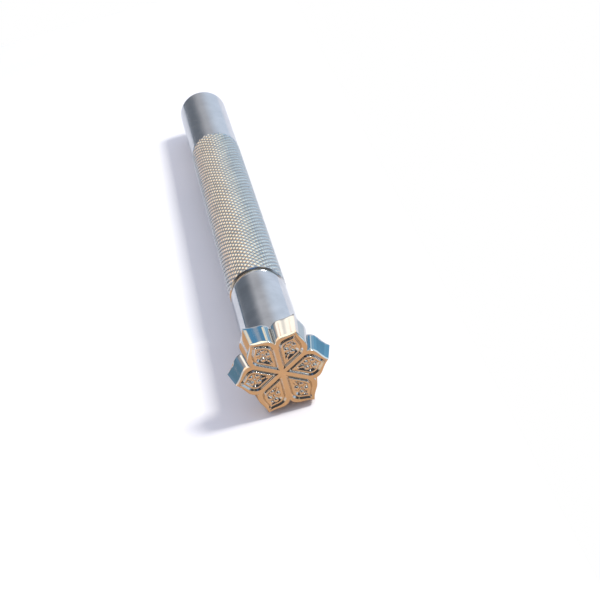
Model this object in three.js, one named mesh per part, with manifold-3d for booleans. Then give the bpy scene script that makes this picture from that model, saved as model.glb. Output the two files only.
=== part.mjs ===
// Leather stamping tool with a six-petal flower die, lying with its axis along Y.
//
// Frame, in millimetres: the origin is the centre of the stamping face, the face looks along -Y, the
// handle runs along +Y and +Z points up through the valley between two petals, so the tool lies on the
// tips of its two lower petals. Angles round the axis are measured from +X towards +Z.

import * as THREE from "three";
import { mergeVertices } from "three/addons/utils/BufferGeometryUtils.js";
import Module from "manifold-3d";

const wasm = await Module();
wasm.setup();

// ---- Driving dimensions ----

const OVERALL_LENGTH = 110;

// Flower die. Shapes on its face are given as shares of TIP_RADIUS.
const PETALS = 6;
const TIP_RADIUS = 7.25;
const DIE_THICKNESS = 4.1;
const DIE_DRAFT_SCALE = 1.13; // outline at the back of the die over the outline at its face
const RELIEF_DEPTH = 0.45;
const HUB_RADIUS = 5.3;
const HUB_LENGTH = 1.1;
const SPIGOT_RADIUS = 2.9;
const SPIGOT_LENGTH = 6.5;

// Collar between the die and the handle bar.
const COLLAR_RADIUS = 4.7;
const COLLAR_REAR = 25.3;
const COLLAR_FRONT_CHAMFER = 0.2;
const COLLAR_REAR_CHAMFER = 0.45;
const COLLAR_TAPPED_DEPTH = 10.5;

// Seat ring, clamped in the seam between collar and bar.
const RING_THICKNESS = 0.8;
const RING_RADIUS = 4.4;
const RING_BORE_RADIUS = 3.3;

// Handle bar.
const KNURL_RADIUS = 4.85;
const KNURL_END = 86.4;
const STRIKING_END_RADIUS = 4.78;
const BAR_TAPPED_DEPTH = 12.5;
const BAR_FRONT_CHAMFER = 0.4;
const BAR_END_CHAMFER = 0.7;
const RUNOUT_GROOVE_WIDTH = 0.35;
const RUNOUT_GROOVE_DEPTH = 0.12;

// M6 thread of the stud, right-handed. The tapped holes are larger by THREAD_CLEARANCE on the radius.
const THREAD_RADIUS = 2.95;
const THREAD_PITCH = 1;
const THREAD_DEPTH = 0.55;
const THREAD_CLEARANCE = 0.18;
const THREAD_SEGMENTS = 18;
const THREAD_ROWS_PER_PITCH = 6;
const STUD_IN_COLLAR = 9.5;
const STUD_IN_BAR = 11.5;

const JOINT_GAP = 0.1; // hairline between two pieces that bear on each other
const ROUND_SEGMENTS = 48;
const CURVE_POINTS = 5;

// ---- Places along the axis that follow from them ----

const HUB_REAR = DIE_THICKNESS + HUB_LENGTH;
const COLLAR_FRONT = HUB_REAR + JOINT_GAP;
const RING_FRONT = COLLAR_REAR + JOINT_GAP;
const RING_REAR = RING_FRONT + RING_THICKNESS;
const BAR_FRONT = RING_REAR + JOINT_GAP;
const STUD_FRONT = COLLAR_REAR - STUD_IN_COLLAR;
const STUD_REAR = BAR_FRONT + STUD_IN_BAR;

// ---- Helpers ----

// A closed three.js geometry as a manifold-3d solid.
function solid(geometry) {
  const bare = geometry.clone();
  bare.deleteAttribute("normal");
  bare.deleteAttribute("uv");
  const merged = mergeVertices(bare, 1e-4);
  return new wasm.Manifold(
    new wasm.Mesh({
      numProp: 3,
      vertProperties: merged.attributes.position.array,
      triVerts: new Uint32Array(merged.index.array),
    }),
  );
}

// A manifold-3d solid as a flat-shaded three.js mesh.
function mesh(name, shape, look) {
  const result = shape.getMesh();
  const indexed = new THREE.BufferGeometry();
  indexed.setAttribute("position", new THREE.BufferAttribute(result.vertProperties, 3));
  indexed.setIndex(new THREE.BufferAttribute(result.triVerts, 1));
  const geometry = indexed.toNonIndexed();
  geometry.computeVertexNormals();
  const made = new THREE.Mesh(geometry, new THREE.MeshStandardMaterial(look));
  made.name = name;
  return made;
}

// A turned solid round the tool's axis, from a profile of [radius, y] pairs that runs towards +Y.
function turned(profile, segments = ROUND_SEGMENTS) {
  const points = profile.map(([radius, y]) => new THREE.Vector2(radius, y));
  return solid(new THREE.LatheGeometry(points, segments));
}

// A right-handed threaded rod from yStart to yEnd, with its crests at the given radius. Crests lie
// where y / pitch equals the turn round +Y, so every piece cut with it is in mesh with the others.
function threadedRod(crestRadius, yStart, yEnd, endChamfer = 0) {
  const length = yEnd - yStart;
  const rows = Math.round((length / THREAD_PITCH) * THREAD_ROWS_PER_PITCH);
  const rod = new THREE.CylinderGeometry(1, 1, length, THREAD_SEGMENTS, rows);
  rod.translate(0, (yStart + yEnd) / 2, 0);
  const position = rod.attributes.position;
  for (let i = 0; i < position.count; i++) {
    const x = position.getX(i);
    const y = position.getY(i);
    const z = position.getZ(i);
    if (Math.hypot(x, z) < 0.5) continue; // the centre of an end face
    const turn = Math.atan2(x, z) / (2 * Math.PI);
    const phase = y / THREAD_PITCH - turn;
    const height = Math.abs(2 * (phase - Math.floor(phase)) - 1);
    const wave = crestRadius - THREAD_DEPTH * (1 - height);
    const fromEnd = Math.min(y - yStart, yEnd - y);
    const radius = endChamfer ? Math.min(wave, crestRadius - endChamfer + fromEnd) : wave;
    position.setXYZ(i, x * radius, y, z * radius);
  }
  return solid(rod);
}

// A prism from a closed shape drawn in shares of TIP_RADIUS, between two depths behind the face.
// The outline is scaled about the axis by backScale at its rear end.
function facePrism(shape, yFront, yRear, backScale = 1) {
  const prism = new THREE.ExtrudeGeometry(shape, {
    depth: yRear - yFront,
    bevelEnabled: false,
    curveSegments: CURVE_POINTS,
  });
  prism.translate(0, 0, -yRear); // the front cap is at z = -yFront, and -z becomes +Y below
  const position = prism.attributes.position;
  for (let i = 0; i < position.count; i++) {
    const atRear = position.getZ(i) < -(yFront + yRear) / 2;
    const scale = TIP_RADIUS * (atRear ? backScale : 1);
    position.setXY(i, position.getX(i) * scale, position.getY(i) * scale);
  }
  prism.rotateX(Math.PI / 2);
  return solid(prism);
}

// ---- Shapes on the stamping face, in shares of TIP_RADIUS, petal pointing along +X ----

// The flower's outline: each petal runs from valley to shoulder, then in an ogee to its pointed tip.
function flowerOutline() {
  const shape = new THREE.Shape();
  const at = (petal, x, y) => {
    const p = new THREE.Vector2(x, y);
    return p.rotateAround(new THREE.Vector2(), (petal * 2 * Math.PI) / PETALS);
  };
  const curve = (petal, ax, ay, bx, by, ex, ey) => {
    const a = at(petal, ax, ay);
    const b = at(petal, bx, by);
    const e = at(petal, ex, ey);
    shape.bezierCurveTo(a.x, a.y, b.x, b.y, e.x, e.y);
  };
  const valley = 0.693;
  const valleyX = valley * Math.cos(Math.PI / PETALS);
  const valleyY = valley * Math.sin(Math.PI / PETALS);
  const start = at(0, valleyX, -valleyY);
  shape.moveTo(start.x, start.y);
  for (let petal = 0; petal < PETALS; petal++) {
    curve(petal, 0.665, -0.36, 0.735, -0.335, 0.79, -0.27);
    curve(petal, 0.85, -0.2, 0.885, -0.095, 1, 0);
    curve(petal, 0.885, 0.095, 0.85, 0.2, 0.79, 0.27);
    curve(petal, 0.735, 0.335, 0.665, 0.36, valleyX, valleyY);
  }
  return shape;
}

// A leaf inside petal number `petal`: a point towards the flower's centre with straight sides, a round
// waist of the given half-width at `waist`, and an ogee to its tip.
function leafOutline(petal, point, waist, halfWidth, tip) {
  const shape = new THREE.Shape();
  const angle = (petal * 2 * Math.PI) / PETALS;
  const at = (x, y) => new THREE.Vector2(x, y).rotateAround(new THREE.Vector2(), angle);
  const curve = (a, b, e) => shape.bezierCurveTo(a.x, a.y, b.x, b.y, e.x, e.y);
  const start = at(point, 0);
  shape.moveTo(start.x, start.y);
  for (const side of [-1, 1]) {
    const wide = at(waist, side * halfWidth);
    const end = side < 0 ? at(tip, 0) : start;
    const straight = at(point + 0.7 * (waist - point), side * 0.85 * halfWidth);
    const shoulder = at(waist + 0.5 * (tip - waist), side * halfWidth);
    const neck = at(waist + 0.65 * (tip - waist), side * 0.3 * halfWidth);
    const root = at(point, 0);
    if (side < 0) {
      curve(root, straight, wide);
      curve(shoulder, neck, end);
    } else {
      curve(neck, shoulder, wide);
      curve(straight, root, end);
    }
  }
  return shape;
}

// ---- Pieces ----

// The flower die: drafted petals with a leaf-shaped moat in each face, on a conical hub and a spigot.
function stampDie() {
  let die = facePrism(flowerOutline(), 0, DIE_THICKNESS, DIE_DRAFT_SCALE);
  for (let petal = 0; petal < PETALS; petal++) {
    const moat = facePrism(leafOutline(petal, 0.11, 0.58, 0.235, 0.89), -1, RELIEF_DEPTH);
    const island = facePrism(leafOutline(petal, 0.22, 0.6, 0.165, 0.79), -2, RELIEF_DEPTH + 1);
    die = die.subtract(moat.subtract(island));
  }
  const hub = turned([
    [0, DIE_THICKNESS - 1],
    [HUB_RADIUS, DIE_THICKNESS - 1],
    [HUB_RADIUS, DIE_THICKNESS],
    [COLLAR_RADIUS, HUB_REAR],
    [SPIGOT_RADIUS, HUB_REAR],
    [SPIGOT_RADIUS, HUB_REAR + SPIGOT_LENGTH - 0.4],
    [SPIGOT_RADIUS - 0.4, HUB_REAR + SPIGOT_LENGTH],
    [0, HUB_REAR + SPIGOT_LENGTH],
  ]);
  return mesh("stamp_die", die.add(hub), { color: 0xe4ddd0, metalness: 1, roughness: 0.1 });
}

// The smooth collar: a blind socket for the die's spigot in front and a tapped hole for the stud behind.
function collar() {
  const outside = turned([
    [0, COLLAR_FRONT],
    [COLLAR_RADIUS - COLLAR_FRONT_CHAMFER, COLLAR_FRONT],
    [COLLAR_RADIUS, COLLAR_FRONT + COLLAR_FRONT_CHAMFER],
    [COLLAR_RADIUS, COLLAR_REAR - COLLAR_REAR_CHAMFER],
    [COLLAR_RADIUS - COLLAR_REAR_CHAMFER, COLLAR_REAR],
    [0, COLLAR_REAR],
  ]);
  const socketDepth = SPIGOT_LENGTH + 0.4;
  const socketRadius = SPIGOT_RADIUS + JOINT_GAP;
  const socket = turned([
    [0, COLLAR_FRONT - 1],
    [socketRadius, COLLAR_FRONT - 1],
    [socketRadius, COLLAR_FRONT + socketDepth],
    [0, COLLAR_FRONT + socketDepth],
  ]);
  const tapped = tappedHole(COLLAR_REAR, -1, COLLAR_TAPPED_DEPTH);
  return mesh("collar", outside.subtract(socket).subtract(tapped), {
    color: 0xd9dce2,
    metalness: 1,
    roughness: 0.12,
  });
}

// The cutter for a blind tapped hole that starts at yMouth and runs towards +Y or -Y, countersunk.
function tappedHole(yMouth, direction, depth) {
  const outer = yMouth - direction;
  const inner = yMouth + direction * depth;
  const rootRadius = THREAD_RADIUS + THREAD_CLEARANCE;
  const hole = threadedRod(rootRadius, Math.min(outer, inner), Math.max(outer, inner));
  const sink = [
    [0, outer],
    [rootRadius + 0.1, outer],
    [rootRadius + 0.1, yMouth],
    [rootRadius - THREAD_DEPTH, yMouth + direction * (THREAD_DEPTH + 0.1)],
    [0, yMouth + direction * (THREAD_DEPTH + 0.1)],
  ];
  return hole.add(turned(direction > 0 ? sink : sink.reverse()));
}

// The thin ring that the collar and the bar clamp between them.
function seatRing() {
  const edge = 0.1;
  const ring = turned([
    [RING_BORE_RADIUS, RING_FRONT],
    [RING_RADIUS - edge, RING_FRONT],
    [RING_RADIUS, RING_FRONT + edge],
    [RING_RADIUS, RING_REAR - edge],
    [RING_RADIUS - edge, RING_REAR],
    [RING_BORE_RADIUS, RING_REAR],
    [RING_BORE_RADIUS, RING_FRONT],
  ]);
  return mesh("seat_ring", ring, { color: 0xcfd3da, metalness: 1, roughness: 0.2 });
}

// The headless stud that joins the two tapped holes.
function threadedStud() {
  const stud = threadedRod(THREAD_RADIUS, STUD_FRONT, STUD_REAR, THREAD_DEPTH);
  return mesh("threaded_stud", stud, { color: 0xb4b6ba, metalness: 1, roughness: 0.35 });
}

// The handle bar: knurled grip, run-out groove, smooth striking end and a tapped hole in front.
function handleBar() {
  const outside = turned([
    [0, BAR_FRONT],
    [KNURL_RADIUS - BAR_FRONT_CHAMFER, BAR_FRONT],
    [KNURL_RADIUS, BAR_FRONT + BAR_FRONT_CHAMFER],
    [KNURL_RADIUS, KNURL_END],
    [STRIKING_END_RADIUS - RUNOUT_GROOVE_DEPTH, KNURL_END + 0.1],
    [STRIKING_END_RADIUS - RUNOUT_GROOVE_DEPTH, KNURL_END + RUNOUT_GROOVE_WIDTH - 0.1],
    [STRIKING_END_RADIUS, KNURL_END + RUNOUT_GROOVE_WIDTH],
    [STRIKING_END_RADIUS, OVERALL_LENGTH - BAR_END_CHAMFER],
    [STRIKING_END_RADIUS - BAR_END_CHAMFER, OVERALL_LENGTH],
    [0, OVERALL_LENGTH],
  ]);
  return mesh("handle_bar", outside.subtract(tappedHole(BAR_FRONT, 1, BAR_TAPPED_DEPTH)), {
    color: 0xc9ccd1,
    metalness: 1,
    roughness: 0.2,
  });
}

// ---- Assembly, by rigid body ----

const handle = new THREE.Group();
handle.add(handleBar(), threadedStud());

const ringBody = new THREE.Group();
ringBody.add(seatRing());

const head = new THREE.Group();
head.add(collar(), stampDie());

const group = new THREE.Group();
group.add(handle, ringBody, head);

export default group;
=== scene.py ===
import math

import bpy
import numpy as np
from mathutils import Matrix, Vector


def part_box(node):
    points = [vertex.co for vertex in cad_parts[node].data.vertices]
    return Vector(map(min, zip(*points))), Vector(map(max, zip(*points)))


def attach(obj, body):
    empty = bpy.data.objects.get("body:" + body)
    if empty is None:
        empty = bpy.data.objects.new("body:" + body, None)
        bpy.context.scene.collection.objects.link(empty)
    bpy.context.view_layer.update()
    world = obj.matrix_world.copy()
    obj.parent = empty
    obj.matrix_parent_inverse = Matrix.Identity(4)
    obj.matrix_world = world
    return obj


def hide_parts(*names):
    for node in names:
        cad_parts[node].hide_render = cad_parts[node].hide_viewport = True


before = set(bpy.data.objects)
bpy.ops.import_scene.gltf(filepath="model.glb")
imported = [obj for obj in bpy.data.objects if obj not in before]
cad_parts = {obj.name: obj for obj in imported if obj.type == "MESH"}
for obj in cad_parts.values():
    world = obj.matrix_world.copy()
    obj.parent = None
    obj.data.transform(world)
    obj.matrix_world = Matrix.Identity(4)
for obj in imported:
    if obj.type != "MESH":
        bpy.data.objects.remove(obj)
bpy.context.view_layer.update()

# A leather stamping tool lying on two petals of its flower die. Lengths here are in millimetres, in the
# frame's own axes: the tool's axis is +Y, the stamping face is at y = 0 and looks along -Y, and angles
# round the axis are measured from +X towards +Z. MM turns them into metres where a mesh is written.

MM = 0.001


def extent(node):
    """(radius, front y, rear y) of a CAD node, in millimetres."""
    low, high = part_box(node)
    return high[0] / MM, low[1] / MM, high[1] / MM


BAR_RADIUS, BAR_FRONT, BAR_REAR = extent("handle_bar")
RING_RADIUS, RING_FRONT, RING_REAR = extent("seat_ring")
COLLAR_RADIUS, COLLAR_FRONT, COLLAR_REAR = extent("collar")
STUD_RADIUS, STUD_FRONT, STUD_REAR = extent("threaded_stud")
DIE_RADIUS, _, DIE_REAR = extent("stamp_die")

# The bar: its smooth striking end, its front edge, and its tapped hole.
STRIKING_RADIUS = 4.78
STRIKING_CHAMFER = 0.75
STRIKING_FACE_RING = 2.0  # radius of the last ring before the striking face's centre
FRONT_CHAMFER = 0.40  # below the bar's radius, where the front face ends
FRONT_CHAMFER_LENGTH = 0.15
FRONT_CHAMFER_END = 0.12  # below the bar's radius, where the knurl takes over
CORNER_SUPPORT = 0.01  # half the distance between two rings that hold a crisp corner
BAR_HOLE_DEPTH = 12.3

# The diamond knurl: apexes stand in rows half a pitch apart, every other row shifted by half a column.
KNURL_COLUMNS = 27
KNURL_ROW_PITCH = 1.266
KNURL_DEPTH = 0.21
KNURL_STEPS = 3  # mesh steps from a groove crossing to an apex
KNURL_START = 0.3  # behind the bar's front
KNURL_ENTRY = 0.45  # length behind the bar's front over which the knurl rises to its full height
KNURL_ENTRY_DEPTH = 0.3
KNURL_END = 86.4
KNURL_RUNOUT = 1.0  # length over which the knurl fades into the smooth end
APEX_SPREAD = 0.08  # how much single apexes vary, as a share of their height

# The ring and the collar.
RING_BORE = 3.3
SPIGOT_RADIUS = 2.9
SPIGOT_LENGTH = 6.5
SOCKET_CLEARANCE = 0.1
SOCKET_END_SPACE = 0.4
COLLAR_LEAD = 0.06  # how far the collar reaches into the gap before it
COLLAR_CHAMFER = 0.45  # below the collar's radius, where the rear face begins
COLLAR_CHAMFER_LENGTH = 0.35
COLLAR_HOLE_DEPTH = 10.3

# The M6 thread of the stud and of both holes.
THREAD_PITCH = 1.0
THREAD_DEPTH = 0.55
THREAD_CLEARANCE = 0.12
THREAD_ROWS = 8  # rings for each turn of the thread
COUNTERSINK = 0.15  # beyond the hole's thread, at its mouth
MOUTH_SUPPORT = 0.5  # ring on the flat face round a hole's mouth, beyond the stud
DRILL_POINT_LENGTH = 0.9
DRILL_POINT_RADIUS = 0.3

# The flower. Its outlines are drawn in shares of TIP_RADIUS, for the petal along +X.
PETALS = 6
HALF_PETAL = math.pi / PETALS
TIP_RADIUS = 7.25
VALLEY_RADIUS = 0.693
OUTLINE_STEPS = 24  # points on each of a petal's four curves
DIE_THICKNESS = 4.1
DIE_DRAFT_SCALE = DIE_RADIUS / TIP_RADIUS
FACE_EDGE_ROUNDING = 0.09
BACK_EDGE_ROUNDING = 0.12
BACK_EDGE_INSET = 0.003  # of the back's edge from the full draft, in shares of TIP_RADIUS
FACE_RINGS = 150
HUB_RADIUS = 5.3
SPIGOT_CHAMFER = 0.4

# The relief sunk into each petal, in shares of TIP_RADIUS: a leaf whose edge is the moat's outer edge.
# Distances of the moat and the field are measured inwards from that edge.
LEAF_POINT = 0.08  # from the flower's centre
LEAF_FLANK = 0.42  # length of the straight flank along the petal
LEAF_TIP = 0.945
LEAF_STEPS = 12  # points on each of the leaf's two curves
MOAT_BOTTOM = 0.045
MOAT_INNER_EDGE = 0.064
FIELD_EDGE = 0.094
FIELD_FOOT = 0.144
RIB_PITCH = 0.031
RIBS_START = 0.16  # along the flank, from the flower's centre
RIBS_END = 0.55

# Depths and heights of the relief, in millimetres.
MOAT_DEPTH = 0.23
FIELD_DEPTH = 0.28
RIB_HEIGHT = 0.035
BEAD_SINK = 0.06  # how far below the field's floor a bead's dome is centred

# Beads in the field: x, y and radius in shares of TIP_RADIUS, and height in millimetres.
BEADS = [(0.60 + i * 0.080, j * 0.068, 0.062, 0.36) for i in (-1, 1) for j in (-1, 1)]
BEADS += [(0.60, 0.0, 0.026, 0.22), (0.750, 0.0, 0.030, 0.26), (0.43, 0.0, 0.032, 0.26)]

# A stem towards the flower's centre and a spike in the moat's tip: start, end and half-width in shares of
# TIP_RADIUS, and height in millimetres.
STEMS = [(0.30, 0.47, 0.014, 0.22), (0.86, 0.905, 0.010, 0.2)]


# ---- Mesh building ----


def mesh_object(name, vertices, faces, sharp_angle=35.0, height=None):
    """A smooth-shaded object from millimetre vertices, wound outwards, with its sharp edges marked. The
    height of each vertex over the grooves, from 0 to 1, is stored for the material's painted shade."""
    points = np.asarray(vertices, dtype=float)
    triangles = np.asarray(faces, dtype=np.int64)
    a, b, c = (points[triangles[:, i]] for i in range(3))
    if np.einsum("ij,ij->i", a, np.cross(b, c)).sum() < 0:
        triangles = triangles[:, ::-1]
    mesh = bpy.data.meshes.new(name)
    mesh.vertices.add(len(points))
    mesh.vertices.foreach_set("co", (points * MM).ravel())
    mesh.loops.add(triangles.size)
    mesh.loops.foreach_set("vertex_index", triangles.ravel())
    mesh.polygons.add(len(triangles))
    mesh.polygons.foreach_set("loop_start", np.arange(0, triangles.size, 3))
    mesh.polygons.foreach_set("use_smooth", np.ones(len(triangles), dtype=bool))
    mesh.update(calc_edges=True)
    mesh.validate()
    mesh.set_sharp_from_angle(angle=math.radians(sharp_angle))
    if height is not None:
        stored = mesh.attributes.new("height", "FLOAT", "POINT")
        stored.data.foreach_set("value", np.append(height, [1.0] * (len(points) - len(height))))
    made = bpy.data.objects.new(name, mesh)
    bpy.context.scene.collection.objects.link(made)
    return made


def diagonal_cost(level, first, second):
    """How poor a diagonal is from one corner to the other: a steep one is worse, then a high one."""
    return np.abs(level[first] - level[second]) + 0.25 * (level[first] + level[second])


def skin(rows, closed=False, sunk=False):
    """Vertices and triangles over rows of points, each row a ring of the same length. The first and last
    rings are capped, unless the rows close on themselves. Each quad is split along its flatter diagonal, or
    its lower one if they are equal, so that grooves stay sharp. Heights are radii, or depths if sunk."""
    rows = np.asarray(rows, dtype=float)
    count, columns = rows.shape[:2]
    index = np.arange(count * columns).reshape(count, columns)
    if closed:
        index = np.vstack([index, index[:1]])
    right = np.roll(index, -1, axis=1)
    a, b, c, d = index[:-1], right[:-1], right[1:], index[1:]
    points = rows.reshape(-1, 3)
    level = -points[:, 1] if sunk else np.hypot(points[:, 0], points[:, 2])
    flatter = (diagonal_cost(level, a, c) <= diagonal_cost(level, b, d))[..., None]
    first = np.where(flatter, np.stack([a, b, c], -1), np.stack([a, b, d], -1))
    second = np.where(flatter, np.stack([a, c, d], -1), np.stack([b, c, d], -1))
    faces = [first.reshape(-1, 3), second.reshape(-1, 3)]
    if not closed:
        for ring, order in ((index[0], -1), (index[-1], 1)):
            points = np.vstack([points, points[ring].mean(axis=0)])
            centre = np.full(columns, len(points) - 1)
            faces.append(np.stack([ring, np.roll(ring, -1), centre], -1)[:, ::order])
    return points, np.vstack(faces)


def rounded(corners, steps=4):
    """A turned profile from (radius, y, rounding) corners, each rounded by an arc-like curve with a
    support point on either side, so that long faces stay evenly shaded."""
    support = 0.2  # distance of a support point from the curve, as a share of the rounding
    line = []
    for i, (radius, y, rounding) in enumerate(corners):
        here = np.array([radius, y])
        if rounding == 0:
            line.append(here)
            continue
        before = np.array(corners[i - 1][:2]) - here
        after = np.array(corners[(i + 1) % len(corners)][:2]) - here
        start = here + before / np.linalg.norm(before) * rounding
        end = here + after / np.linalg.norm(after) * rounding
        line.append(start + (start - here) * support)
        for t in np.linspace(0, 1, steps + 1):
            line.append((1 - t) ** 2 * start + 2 * t * (1 - t) * here + t**2 * end)
        line.append(end + (end - here) * support)
    return line


def ring_angles(columns):
    return np.linspace(0, 2 * math.pi, columns, endpoint=False)


def ring(radius, y, angle):
    """Points at the given angles round the axis. Radius and y are numbers, or one number for each angle."""
    return np.stack([radius * np.cos(angle), np.broadcast_to(y, len(angle)), radius * np.sin(angle)], -1)


def rings(profile, columns):
    """The profile's (radius, y) points swept round the axis."""
    return [ring(radius, y, ring_angles(columns)) for radius, y in profile]


def thread_ring(y, crest, columns, limit=math.inf):
    """One ring of a right-handed thread at y: crests lie where y / pitch equals the turn round +Y. Its
    flanks are steep enough to leave flats on the crests and in the roots."""
    flank_slope = 1.25
    root_flat = 0.1
    angle = ring_angles(columns)
    turn = (math.pi / 2 - angle) / (2 * math.pi)
    phase = (y / THREAD_PITCH - turn) % 1.0
    height = np.clip(np.abs(2 * phase - 1) * flank_slope - root_flat, 0, 1)
    radius = np.minimum(crest - THREAD_DEPTH * (1 - height), limit)
    return ring(radius, y, angle)


def tapped_rows(mouth, direction, depth, columns):
    """The wall of a blind tapped hole, from its countersunk mouth to the drill point at its bottom."""
    crest = STUD_RADIUS + THREAD_CLEARANCE
    rows = rings([(crest + COUNTERSINK, mouth)], columns)
    for step in range(1, int(depth / THREAD_PITCH * THREAD_ROWS)):
        along = step * THREAD_PITCH / THREAD_ROWS
        y = mouth + direction * along
        tapped = thread_ring(y, crest, columns)
        if along < THREAD_DEPTH + COUNTERSINK:
            cone = rings([(crest + COUNTERSINK - along, y)], columns)[0]
            wider = np.hypot(cone[:, 0], cone[:, 2]) > np.hypot(tapped[:, 0], tapped[:, 2])
            tapped = np.where(wider[:, None], cone, tapped)
        rows.append(tapped)
    bottom = mouth + direction * depth
    rows += rings([(crest - THREAD_DEPTH, bottom)], columns)
    rows += rings([(DRILL_POINT_RADIUS, bottom + direction * DRILL_POINT_LENGTH)], columns)
    return rows


# ---- The handle bar ----


def knurl_height(column, row):
    """Height from 0 in the grooves to 1 on the apexes, at mesh column and row counted in knurl steps. The
    flanks are a little convex."""
    across = np.abs((column / KNURL_STEPS + 1) % 2 - 1)
    along = np.abs((row / KNURL_STEPS + 1) % 2 - 1)
    from_apex = np.minimum(across + along, 2 - across - along)
    return np.interp(from_apex, [0, 1 / 3, 2 / 3, 1], [1, 0.86, 0.50, 0])


def knurl_rows(columns):
    """Rings over the knurled grip and each vertex's height over the grooves. A slow drift bends the rows a
    little, as a rolled knurl's do."""
    start = BAR_FRONT + KNURL_START
    step = KNURL_ROW_PITCH / 2 / KNURL_STEPS
    count = int((KNURL_END - start) / step)
    angle = ring_angles(columns)
    noise = np.random.default_rng(7)
    lift = noise.normal(0, APEX_SPREAD, (count // KNURL_STEPS + 2, 2 * KNURL_COLUMNS))
    apex_column = (np.arange(columns) + 1) // KNURL_STEPS % (2 * KNURL_COLUMNS)
    rows = []
    heights = []
    for row in range(count + 1):
        y = start + row * step
        apex = lift[(row + 1) // KNURL_STEPS][apex_column]
        height = knurl_height(np.arange(columns), row) * (1 - np.abs(apex))
        fade = min(1.0, (KNURL_END - y) / KNURL_RUNOUT)
        entry = min(1.0, (y - BAR_FRONT) / KNURL_ENTRY)
        knurled = BAR_RADIUS - KNURL_DEPTH * (1 - height)
        radius = knurled * fade + STRIKING_RADIUS * (1 - fade)
        radius = np.minimum(radius, BAR_RADIUS - KNURL_ENTRY_DEPTH * (1 - entry))
        drift = 0.012 * math.sin(y * 0.11) + 0.006 * math.sin(y * 0.37 + 1)
        wave = 0.05 * np.sin(3 * angle + y * 0.16) * min(1.0, 2 * fade)
        rows.append(ring(radius, y + wave, angle + drift))
        heights.append(1 - (1 - height) * fade)
    return rows, heights


def handle_bar():
    """The bar from the bottom of its hole, over its front face and its knurl, to its striking face. The
    stored height is 0 in the hole and on the front face, so they are as dark as the grooves: they lie in
    the seam's shade."""
    columns = 2 * KNURL_COLUMNS * KNURL_STEPS
    hole = tapped_rows(BAR_FRONT, 1, BAR_HOLE_DEPTH, columns)
    face = [
        (STUD_RADIUS + MOUTH_SUPPORT, BAR_FRONT),
        (BAR_RADIUS - FRONT_CHAMFER - CORNER_SUPPORT, BAR_FRONT),
    ]
    chamfer = [
        (BAR_RADIUS - FRONT_CHAMFER + CORNER_SUPPORT, BAR_FRONT + 0.006),
        (BAR_RADIUS - FRONT_CHAMFER_END, BAR_FRONT + FRONT_CHAMFER_LENGTH),
        (BAR_RADIUS - FRONT_CHAMFER_END + CORNER_SUPPORT, BAR_FRONT + FRONT_CHAMFER_LENGTH + 0.1),
    ]
    back = rounded(
        [
            (STRIKING_RADIUS, KNURL_END + 0.2, 0),
            (STRIKING_RADIUS, BAR_REAR - STRIKING_CHAMFER, 0.3),
            (STRIKING_RADIUS - STRIKING_CHAMFER, BAR_REAR, 0.25),
            (STRIKING_FACE_RING, BAR_REAR, 0),
        ]
    )
    knurl, heights = knurl_rows(columns)
    rows = hole[::-1] + rings(face + chamfer, columns) + knurl + rings(back, columns)
    # Painted shade: the hole and the front face get height 0, so the material darkens them.
    dark = [np.zeros(columns)] * (len(hole) + len(face))
    bright = np.ones(columns)
    height = np.hstack(dark + [bright] * len(chamfer) + heights + [bright] * len(back))
    return mesh_object("bar_knurled", *skin(rows), sharp_angle=50, height=height)


# ---- Ring, stud and collar ----


def seat_ring():
    profile = rounded(
        [
            (RING_BORE, RING_FRONT, 0.06),
            (RING_RADIUS, RING_FRONT, 0.12),
            (RING_RADIUS, RING_REAR, 0.12),
            (RING_BORE, RING_REAR, 0.06),
        ]
    )
    return mesh_object("ring_turned", *skin(rings(profile, 144), closed=True))


def threaded_stud():
    """The stud, with a 45-degree chamfer of the thread's depth at each end."""
    columns = 72
    root = STUD_RADIUS - THREAD_DEPTH
    steps = int((STUD_REAR - STUD_FRONT) / THREAD_PITCH * THREAD_ROWS)
    rows = rings([(root, STUD_FRONT)], columns)
    for step in range(1, steps):
        y = STUD_FRONT + step * (STUD_REAR - STUD_FRONT) / steps
        from_end = min(y - STUD_FRONT, STUD_REAR - y)
        rows.append(thread_ring(y, STUD_RADIUS, columns, root + from_end))
    rows += rings([(root, STUD_REAR)], columns)
    return mesh_object("stud_threaded", *skin(rows), sharp_angle=40)


def collar():
    """The collar from the bottom of its socket, over its outside, to the bottom of its tapped hole. Its
    rear edge lies in the seam's shade, so its stored height is low there and it is darker."""
    columns = 144
    shade = 0.15
    shade_length = 0.38
    socket = SPIGOT_RADIUS + SOCKET_CLEARANCE
    socket_end = COLLAR_FRONT + SPIGOT_LENGTH + SOCKET_END_SPACE
    outside = rounded(
        [
            (DRILL_POINT_RADIUS, socket_end, 0),
            (socket, socket_end, 0.05),
            (socket, COLLAR_FRONT - COLLAR_LEAD, 0.05),
            (COLLAR_RADIUS, COLLAR_FRONT - COLLAR_LEAD, 0.08),
            (COLLAR_RADIUS, COLLAR_REAR - COLLAR_CHAMFER_LENGTH, 0.12),
            (COLLAR_RADIUS - COLLAR_CHAMFER, COLLAR_REAR, 0.15),
            (STUD_RADIUS + MOUTH_SUPPORT, COLLAR_REAR, 0),
        ],
        steps=6,
    )
    rows = rings(outside, columns) + tapped_rows(COLLAR_REAR, -1, COLLAR_HOLE_DEPTH, columns)
    # Painted shade on the rear edge: its low stored height makes the material darken it.
    height = [1.0 if row[0][1] < COLLAR_REAR - shade_length else shade for row in rows]
    return mesh_object("collar_turned", *skin(rows), height=np.repeat(height, columns))


# ---- The flower die ----


def bezier(a, b, c, d, steps):
    """Points on a cubic curve from a to d, without d."""
    t = np.linspace(0, 1, steps, endpoint=False)[:, None]
    a, b, c, d = (np.asarray(p, dtype=float) for p in (a, b, c, d))
    return (1 - t) ** 3 * a + 3 * (1 - t) ** 2 * t * b + 3 * (1 - t) * t**2 * c + t**3 * d


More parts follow.
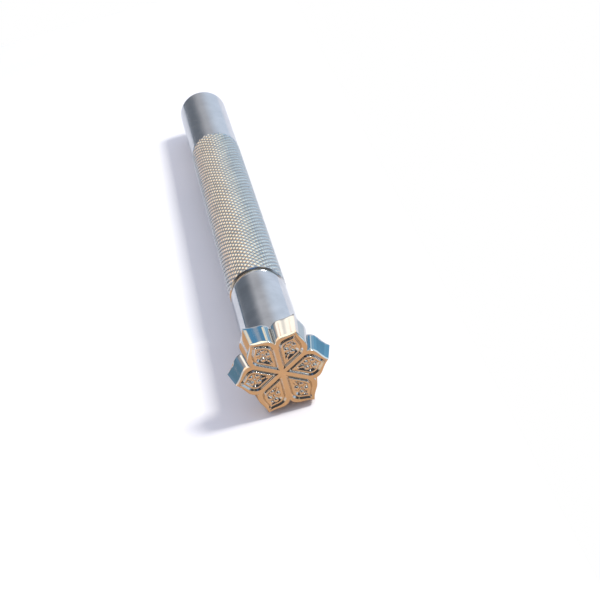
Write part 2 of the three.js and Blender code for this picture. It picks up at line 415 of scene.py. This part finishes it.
def petal_outline():
    """The outline of the petal along +X, from valley to valley, without the second valley's point."""
    valley = VALLEY_RADIUS * np.array([math.cos(HALF_PETAL), math.sin(HALF_PETAL)])
    shoulder = (0.79, 0.27)
    ogee = bezier((1, 0), (0.885, 0.095), (0.85, 0.2), shoulder, OUTLINE_STEPS)
    flank = bezier(shoulder, (0.735, 0.335), (0.665, 0.36), valley, OUTLINE_STEPS)
    half = np.vstack([ogee, flank, [valley]])
    mirrored = half * [1, -1]
    return np.vstack([mirrored[:0:-1], half[:-1]])


def leaf_outline():
    """Half of the leaf-shaped moat's outer edge, from its inner point to its tip."""
    point = np.array([LEAF_POINT, 0.0])
    flank = point + LEAF_FLANK * np.array([1, math.tan(HALF_PETAL)])
    shoulder = (0.75, 0.205)
    tip = (LEAF_TIP, 0)
    round_part = bezier(flank, (0.56, 0.277), (0.66, 0.282), shoulder, LEAF_STEPS)
    ogee = bezier(shoulder, (0.81, 0.155), (0.85, 0.07), tip, LEAF_STEPS)
    return np.vstack([point, round_part, ogee, tip])


def slope(value, low, high):
    """An even slope from 0 at low to 1 at high."""
    return np.clip((value - low) / (high - low), 0, 1)


def smooth_step(value, low, high):
    """A slope from 0 at low to 1 at high that is level at both ends."""
    t = slope(value, low, high)
    return t * t * (3 - 2 * t)


def band(value, low, high, soft):
    """1 between low and high, falling to 0 over soft outside them."""
    return smooth_step(value, low - soft, low) * (1 - smooth_step(value, high, high + soft))


def inside_leaf(x, y):
    """Distance from points to the leaf's edge, positive inside it."""
    edge = leaf_outline()
    points = np.stack([x, np.abs(y)], -1)
    nearest = np.full(len(points), math.inf)
    for a, b in zip(edge[:-1], edge[1:]):
        along = np.clip(((points - a) @ (b - a)) / ((b - a) @ (b - a)), 0, 1)
        nearest = np.minimum(nearest, np.linalg.norm(points - a - along[:, None] * (b - a), axis=1))
    half_width = np.interp(points[:, 0], edge[:, 0], edge[:, 1], left=-1, right=-1)
    return np.where(points[:, 1] < half_width, nearest, -nearest)


def relief_depth(x, y):
    """Depth in millimetres of one petal's relief below the face, at x, y in shares of TIP_RADIUS."""
    inside = inside_leaf(x, y)
    moat = slope(inside, 0, MOAT_BOTTOM) * (1 - slope(inside, MOAT_BOTTOM, MOAT_INNER_EDGE))
    depth = MOAT_DEPTH * moat + FIELD_DEPTH * slope(inside, FIELD_EDGE, FIELD_FOOT)

    # Fine ribs across the straight flanks of the moat.
    along = x * math.cos(HALF_PETAL) + np.abs(y) * math.sin(HALF_PETAL)
    on_flank = band(along, RIBS_START, RIBS_END, 0.02) * band(inside, 0.004, 0.035, 0.008)
    rib = RIB_HEIGHT * on_flank * (0.5 + 0.5 * np.cos(2 * math.pi * along / RIB_PITCH))
    depth = depth - np.minimum(rib, 0.7 * depth)

    # Domed beads in the field: a quatrefoil, its centre, and one towards each end.
    for bead_x, bead_y, radius, height in BEADS:
        away = np.hypot(x - bead_x, y - bead_y) / radius
        dome = height * np.sqrt(np.clip(1 - away**2, 0, None))
        depth = np.minimum(depth, np.where(away < 1, FIELD_DEPTH + BEAD_SINK - dome, math.inf))

    # Narrow ridges on the petal's middle line, no higher than the face.
    for start, end, half_width, height in STEMS:
        across = 1 - smooth_step(np.abs(y), half_width, 1.8 * half_width)
        stem = height * band(x, start, end, 0.015) * across
        depth = depth - np.minimum(stem, depth)
    return depth


def stamp_die():
    """The die from the centre of its face, over its rim, back and hub, to the end of its spigot."""
    petal = petal_outline()
    outline = []
    for k in range(PETALS):
        angle = k * 2 * math.pi / PETALS
        turn = np.array([[math.cos(angle), math.sin(angle)], [-math.sin(angle), math.cos(angle)]])
        outline.append(petal @ turn)
    outline = np.vstack(outline) * TIP_RADIUS
    angle = np.arctan2(outline[:, 1], outline[:, 0])

    def outline_ring(scale, y):
        return np.stack([outline[:, 0] * scale, np.broadcast_to(y, len(outline)), outline[:, 1] * scale], -1)

    rows = []
    flat_share = 1 - FACE_EDGE_ROUNDING / TIP_RADIUS
    for k in range(1, FACE_RINGS + 1):
        share = k / FACE_RINGS * flat_share
        depth = relief_depth(petal[:, 0] * share, petal[:, 1] * share)
        rows.append(outline_ring(share, np.tile(depth, PETALS)))
    for turned in (0.3, 0.65, 1.0):
        inset = FACE_EDGE_ROUNDING / TIP_RADIUS * (1 - math.sin(turned * math.pi / 2))
        rows.append(outline_ring(1 - inset, FACE_EDGE_ROUNDING * (1 - math.cos(turned * math.pi / 2))))
    for y in (1.3 * FACE_EDGE_ROUNDING, 0.5, 1.5, 2.5, 3.5, DIE_THICKNESS - 0.2):
        rows.append(outline_ring(1 + (DIE_DRAFT_SCALE - 1) * y / DIE_THICKNESS, y))
    for turned in (0.35, 0.7, 1.0):
        inset = BACK_EDGE_INSET + BACK_EDGE_ROUNDING * (1 - math.cos(turned * math.pi / 2)) / TIP_RADIUS
        y = DIE_THICKNESS - BACK_EDGE_ROUNDING * (1 - math.sin(turned * math.pi / 2))
        rows.append(outline_ring(DIE_DRAFT_SCALE - inset, y))

    # The cone of the hub ends in a narrow groove before the collar, and the spigot has a chamfered end.
    hub = [
        (HUB_RADIUS + 0.05, DIE_THICKNESS),
        (HUB_RADIUS, DIE_THICKNESS + 0.04),
        (COLLAR_RADIUS + 0.08, COLLAR_FRONT - 0.2),
        (COLLAR_RADIUS, COLLAR_FRONT - 0.12),
        (SPIGOT_RADIUS, COLLAR_FRONT - 0.1),
        (SPIGOT_RADIUS, DIE_REAR - SPIGOT_CHAMFER),
        (SPIGOT_RADIUS - SPIGOT_CHAMFER, DIE_REAR),
        (0.5, DIE_REAR),
    ]
    rows += [ring(radius, y, angle) for radius, y in hub]
    return mesh_object("die_flower", *skin(rows, sunk=True), sharp_angle=50)


# ---- Materials ----

# A mix node repeats the names of its sockets for each kind of data: the places of its two values and of
# its result, for numbers and for colours.
MIX_SOCKETS = {"FLOAT": (2, 3, 0), "RGBA": (6, 7, 2)}


def principled(name, colour, metallic, roughness):
    material = bpy.data.materials.new(name)
    material.use_nodes = True
    shader = material.node_tree.nodes["Principled BSDF"]
    shader.inputs["Base Color"].default_value = (*colour, 1)
    shader.inputs["Metallic"].default_value = metallic
    shader.inputs["Roughness"].default_value = roughness
    return material, material.node_tree, shader


def node(tree, kind, **settings):
    """A new node with its inputs or its own properties set by name."""
    made = tree.nodes.new(kind)
    for key, value in settings.items():
        if key in made.inputs:
            made.inputs[key].default_value = value
        else:
            setattr(made, key, value)
    return made


def noise(tree, scale, detail=4.0, stretch=(1, 1, 1)):
    """Noise over the object's own coordinates, with its scale in features a metre."""
    place = node(tree, "ShaderNodeTexCoord")
    mapping = node(tree, "ShaderNodeMapping", Scale=stretch)
    tree.links.new(place.outputs["Object"], mapping.inputs["Vector"])
    texture = node(tree, "ShaderNodeTexNoise", Scale=scale, Detail=detail)
    tree.links.new(mapping.outputs["Vector"], texture.inputs["Vector"])
    return texture.outputs["Fac"]


def remap(tree, source, from_low, from_high, to_low, to_high):
    """The source's range from_low to from_high stretched to the range to_low to to_high."""
    made = node(tree, "ShaderNodeMapRange")
    made.inputs["From Min"].default_value = from_low
    made.inputs["From Max"].default_value = from_high
    made.inputs["To Min"].default_value = to_low
    made.inputs["To Max"].default_value = to_high
    tree.links.new(source, made.inputs["Value"])
    return made.outputs["Result"]


def mix(tree, kind, factor, first, second):
    """The two values mixed by the factor. Each is a socket, or a plain number or colour."""
    made = node(tree, "ShaderNodeMix", data_type=kind)
    tree.links.new(factor, made.inputs["Factor"])
    *places, result = MIX_SOCKETS[kind]
    for place, value in zip(places, (first, second)):
        socket = made.inputs[place]
        if isinstance(value, bpy.types.NodeSocket):
            tree.links.new(value, socket)
        else:
            socket.default_value = (*value, 1) if kind == "RGBA" else value
    return made.outputs[result]


def clouded_colour(tree, source, first, second):
    """A soft blend from the first colour to the second over the middle of the source's range."""
    blend = node(tree, "ShaderNodeValToRGB")
    for element, position, colour in zip(blend.color_ramp.elements, (0.35, 0.65), (first, second)):
        element.position = position
        element.color = (*colour, 1)
    tree.links.new(source, blend.inputs["Fac"])
    return blend.outputs["Color"]


def clouded_roughness(tree, source, low, high):
    return remap(tree, source, 0.3, 0.7, low, high)


def add_bump(tree, shader, source, distance):
    bump = node(tree, "ShaderNodeBump")
    bump.inputs["Strength"].default_value = 1.0
    bump.inputs["Distance"].default_value = distance
    tree.links.new(source, bump.inputs["Height"])
    tree.links.new(bump.outputs["Normal"], shader.inputs["Normal"])


def chrome(name, first, second, low, high, lines=0.0, grooved=False):
    """Bright plate: a faint cloud in colour and roughness, worn edges, and fine turning lines round the
    axis, as deep as lines says in metres. Where grooved, grooves and other places with a low stored height
    get painted shade: they are darker, and duller."""
    material, tree, shader = principled(name, first, 1.0, low)
    shader.inputs["Specular Tint"].default_value = (0.80, 0.82, 0.85, 1)
    colour = clouded_colour(tree, noise(tree, 260, 5), first, second)
    roughness = clouded_roughness(tree, noise(tree, 700, 4), low, high)

    pointiness = node(tree, "ShaderNodeNewGeometry").outputs["Pointiness"]
    edges = remap(tree, pointiness, 0.53, 0.62, 0.0, 0.5)
    colour = mix(tree, "RGBA", edges, colour, (0.72, 0.70, 0.66))
    roughness = mix(tree, "FLOAT", edges, roughness, 0.3)
    # Painted shade: where the stored height is low (the knurl's grooves, the bar's hole and front face, the
    # collar's rear edge), the colour is darkened towards near black.
    if grooved:
        height = node(tree, "ShaderNodeAttribute", attribute_name="height").outputs["Fac"]
        grooves = remap(tree, height, 0.05, 0.5, 0.72, 0.0)
        colour = mix(tree, "RGBA", grooves, colour, (0.10, 0.10, 0.095))
        roughness = mix(tree, "FLOAT", grooves, roughness, 0.5)
    tree.links.new(colour, shader.inputs["Base Color"])
    tree.links.new(roughness, shader.inputs["Roughness"])
    if lines:
        add_bump(tree, shader, noise(tree, 6000, 2, stretch=(0.02, 1, 0.02)), lines)
    return material


def bar_plate():
    colours = (0.56, 0.57, 0.58), (0.61, 0.62, 0.63)
    return chrome("bar_plate", *colours, 0.14, 0.22, lines=0.000002, grooved=True)


def ring_plate():
    colours = (0.62, 0.63, 0.65), (0.68, 0.69, 0.71)
    return chrome("ring_plate", *colours, 0.12, 0.2)


def collar_plate():
    colours = (0.53, 0.54, 0.55), (0.65, 0.66, 0.67)
    return chrome("collar_plate", *colours, 0.06, 0.14, lines=0.0000015, grooved=True)


def die_plate():
    colours = (0.62, 0.61, 0.59), (0.66, 0.65, 0.63)
    return chrome("die_plate", *colours, 0.05, 0.1)


def stud_steel():
    """Plain grey steel, duller than the plate."""
    material, tree, shader = principled("stud_steel", (0.5, 0.5, 0.52), 1.0, 0.35)
    colour = clouded_colour(tree, noise(tree, 700, 4), (0.42, 0.42, 0.43), (0.6, 0.6, 0.62))
    tree.links.new(colour, shader.inputs["Base Color"])
    roughness = clouded_roughness(tree, noise(tree, 2500, 3), 0.28, 0.42)
    tree.links.new(roughness, shader.inputs["Roughness"])
    add_bump(tree, shader, noise(tree, 9000, 3), 0.00001)
    return material


def matt_surface(name, colour, roughness, cloud_scale, first, second):
    """A matt material for the stage, with a faint cloud in its colour."""
    material, tree, shader = principled(name, colour, 0.0, roughness)
    clouded = clouded_colour(tree, noise(tree, cloud_scale, 4), first, second)
    tree.links.new(clouded, shader.inputs["Base Color"])
    return material


# ---- Stage, in metres ----

FLOOR_LEFT = -0.056
FLOOR_RIGHT = 0.030
FLOOR_FRONT = -0.09
FLOOR_BACK = 0.2
FLOOR_GAP = 0.00002  # below the lowest points of the tool
CARD_OUTLINE = [(-0.050, 0.052), (-0.050, 0.0), (0.018, -0.042), (0.038, -0.006)]
CARD_LIFT = 0.0002


def floor_height(y):
    """The floor's height at y. It touches the two lower petals and the striking end's rim."""
    front_y = DIE_THICKNESS * MM
    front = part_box("stamp_die")[0][2]
    rear_y = (BAR_REAR - STRIKING_CHAMFER) * MM
    fall = (-STRIKING_RADIUS * MM - front) / (rear_y - front_y)
    return front + fall * (y - front_y) - FLOOR_GAP


def stage_sheet(name, outline, lift, material):
    """A flat sheet with the given (x, y) outline, lying lift above the floor."""
    mesh = bpy.data.meshes.new(name)
    mesh.from_pydata([(x, y, floor_height(y) + lift) for x, y in outline], [], [range(len(outline))])
    mesh.materials.append(material)
    made = bpy.data.objects.new(name, mesh)
    bpy.context.scene.collection.objects.link(made)
    return made


def floor():
    """The plain pale floor."""
    colour = (0.84, 0.84, 0.84)
    paper = matt_surface("floor_paper", colour, 0.8, 40, (0.83, 0.835, 0.84), (0.85, 0.85, 0.855))
    front = [(FLOOR_LEFT, FLOOR_FRONT), (FLOOR_RIGHT, FLOOR_FRONT)]
    back = [(FLOOR_RIGHT, FLOOR_BACK), (FLOOR_LEFT, FLOOR_BACK)]
    stage_sheet("floor", front + back, 0.0, paper)


def warm_card():
    """A tan reflector card under and before the stamping face. It shows only as a reflection in metal."""
    colour = (0.67, 0.37, 0.165)
    tan = matt_surface("card", colour, 0.7, 60, (0.65, 0.355, 0.155), (0.69, 0.39, 0.18))
    card = stage_sheet("warm_card", CARD_OUTLINE, CARD_LIFT, tan)
    card.visible_camera = False
    card.visible_diffuse = False
    card.visible_shadow = False


def key_light():
    """One soft, slightly warm light, high up on the right."""
    data = bpy.data.lights.new("key", "AREA")
    data.shape = "RECTANGLE"
    data.size = 0.12
    data.size_y = 0.12
    data.energy = 3.1
    data.color = (1.0, 0.97, 0.93)
    made = bpy.data.objects.new("key", data)
    bpy.context.scene.collection.objects.link(made)
    made.location = (0.38, -0.02, 0.46)
    middle_of_tool = Vector((0, 0.03, 0))
    made.rotation_euler = (middle_of_tool - made.location).to_track_quat("-Z", "Y").to_euler()


def direction(azimuth, elevation):
    """A unit vector: azimuth from +Y towards +X, both in degrees."""
    a = math.radians(azimuth)
    e = math.radians(elevation)
    return Vector((math.sin(a) * math.cos(e), math.cos(a) * math.cos(e), math.sin(e)))


# The light around the tool: what lies behind it, what lights the floor, and what the metal reflects where
# no panel is.
BACKDROP = (1.0, 1.0, 1.0)
SKY = (0.66, 0.69, 0.84)
GREY_ROOM = (0.62, 0.625, 0.665)

# The studio's panels as the metal reflects them, each over the ones before it: azimuth, elevation,
# half-angle and edge softness in degrees, and colour.
PANELS = [
    (0, -90, 89, 1, (0.12, 0.24, 0.36)),  # below the floor's edge
    (75, 8, 26, 4, (0.95, 1.10, 1.20)),  # pale wall on the right
    (38, -14, 9, 2, (0.50, 0.66, 0.76)),  # its foot, behind
    (27, 4, 20, 12, (0.90, 1.00, 1.16)),  # pale wall behind on the right
    (47, -3, 6, 1.5, (0.17, 0.42, 0.66)),  # blue patch at its foot
    (88, 40, 46, 4, (1.0, 1.20, 1.30)),  # pale blue wall above on the right
    (-78, 47, 32, 6, (1.95, 1.34, 0.88)),  # peach wall above on the left
    (-90, 0, 32, 6, (0.92, 0.90, 0.89)),  # grey wall below it
    (-140, 20, 22, 10, (1.0, 0.78, 0.55)),  # peach wall in front on the left
    (140, 20, 22, 10, (0.62, 0.78, 0.95)),  # blue wall in front on the right
    (-4, 80, 25, 3, (2.05, 1.90, 1.45)),  # cream ceiling
    (180, 36, 46, 6, (0.075, 0.07, 0.07)),  # dark room in front
    (154, 25, 5, 2, (0.90, 0.80, 0.55)),  # cream lamp in it
    (178, 30, 7, 3, (0.13, 0.38, 0.80)),  # blue panel in it
    (165, 68, 9, 3, (2.2, 2.1, 1.95)),  # white lamp above it
    (150, 45, 8, 2, (4.2, 4.1, 3.8)),  # bright lamp beside it
    (14, -7, 5, 2, (0.08, 0.08, 0.08)),  # dark gap low behind
    (-26, 15, 14, 11, (0.20, 0.225, 0.265)),  # dark room behind on the left
    (-45, 14, 9, 3, (0.19, 0.34, 0.50)),  # blue panel beside it
    (-45, 0, 9, 3, (0.15, 0.29, 0.41)),  # and its foot
    (46, 11, 9, 3, (0.20, 0.50, 0.78)),  # blue panel behind on the right
    (44, 27, 8, 3, (0.28, 0.54, 0.80)),  # its upper part
    (49, 19, 4, 2, (0.50, 0.70, 0.88)),  # pale strip in it
    (24, 48, 13, 3, (0.12, 0.35, 0.62)),  # dark blue panel high behind
    (-21, 49, 12, 2, (1.7, 1.6, 1.45)),  # softbox
    (-36, 43, 3, 1, (1.3, 0.75, 0.45)),  # orange spot at its left edge
    (-18, 51, 2.6, 1, (1.25, 0.66, 0.38)),  # orange spot in its middle
    (32, 44, 6, 1.5, (1.3, 1.15, 0.9)),  # cream strip at its right edge
    (10, 53, 1.6, 0.5, (0.06, 0.09, 0.12)),  # dark frame in its middle
    (10, 53, 0.7, 0.4, (1.8, 1.7, 1.5)),  # bright slit in that frame
]


def studio_world():
    """A pale backdrop for the camera, an even lilac-white sky for the floor, and panels for the metal."""
    world = bpy.data.worlds.new("studio")
    bpy.context.scene.world = world
    world.use_nodes = True
    tree = world.node_tree
    place = node(tree, "ShaderNodeTexCoord")
    towards = node(tree, "ShaderNodeVectorMath", operation="NORMALIZE")
    tree.links.new(place.outputs["Generated"], towards.inputs[0])
    colour = GREY_ROOM
    for azimuth, elevation, half_angle, softness, tint in PANELS:
        facing = node(tree, "ShaderNodeVectorMath", operation="DOT_PRODUCT")
        facing.inputs[1].default_value = direction(azimuth, elevation)
        tree.links.new(towards.outputs[0], facing.inputs[0])
        edge = node(tree, "ShaderNodeMapRange", interpolation_type="SMOOTHSTEP")
        edge.inputs["From Min"].default_value = math.cos(math.radians(half_angle + softness))
        edge.inputs["From Max"].default_value = math.cos(math.radians(half_angle - softness))
        tree.links.new(facing.outputs["Value"], edge.inputs["Value"])
        colour = mix(tree, "RGBA", edge.outputs["Result"], colour, tint)
    rays = node(tree, "ShaderNodeLightPath")
    colour = mix(tree, "RGBA", rays.outputs["Is Diffuse Ray"], colour, SKY)
    colour = mix(tree, "RGBA", rays.outputs["Is Camera Ray"], colour, BACKDROP)
    tree.links.new(colour, tree.nodes["Background"].inputs["Color"])


def camera():
    """Above and in front of the stamping face, looking along the tool and down at it, rolled to the left."""
    looking = direction(2.23, -29.42)
    target = Vector((6.9, 38.8, -10.6)) * MM
    distance = 273.5 * MM
    roll = math.radians(-14.9)
    data = bpy.data.cameras.new("camera")
    data.sensor_width = 36
    data.lens = 92.95
    made = bpy.data.objects.new("camera", data)
    bpy.context.scene.collection.objects.link(made)
    turn = looking.to_track_quat("-Z", "Y").to_matrix() @ Matrix.Rotation(roll, 3, "Z")
    made.matrix_world = Matrix.LocRotScale(target - looking * distance, turn, None)
    bpy.context.scene.camera = made


# ---- Assembly ----

# Each piece: its builder, the body that it rides on, the CAD node that it stands for, its finish and its
# material.
PIECES = [
    (handle_bar, "handle", "handle_bar", "plated_bar", bar_plate()),
    (threaded_stud, "handle", "threaded_stud", "stud_steel", stud_steel()),
    (seat_ring, "ring", "seat_ring", "plated_ring", ring_plate()),
    (collar, "head", "collar", "plated_collar", collar_plate()),
    (stamp_die, "head", "stamp_die", "plated_die", die_plate()),
]

camera()
floor()
warm_card()
studio_world()
key_light()

for build, body, cad_node, slot, material in PIECES:
    piece = build()
    piece.data.materials.append(material)
    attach(piece, body)
    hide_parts(cad_node)

bpy.context.scene.view_settings.view_transform = "Standard"
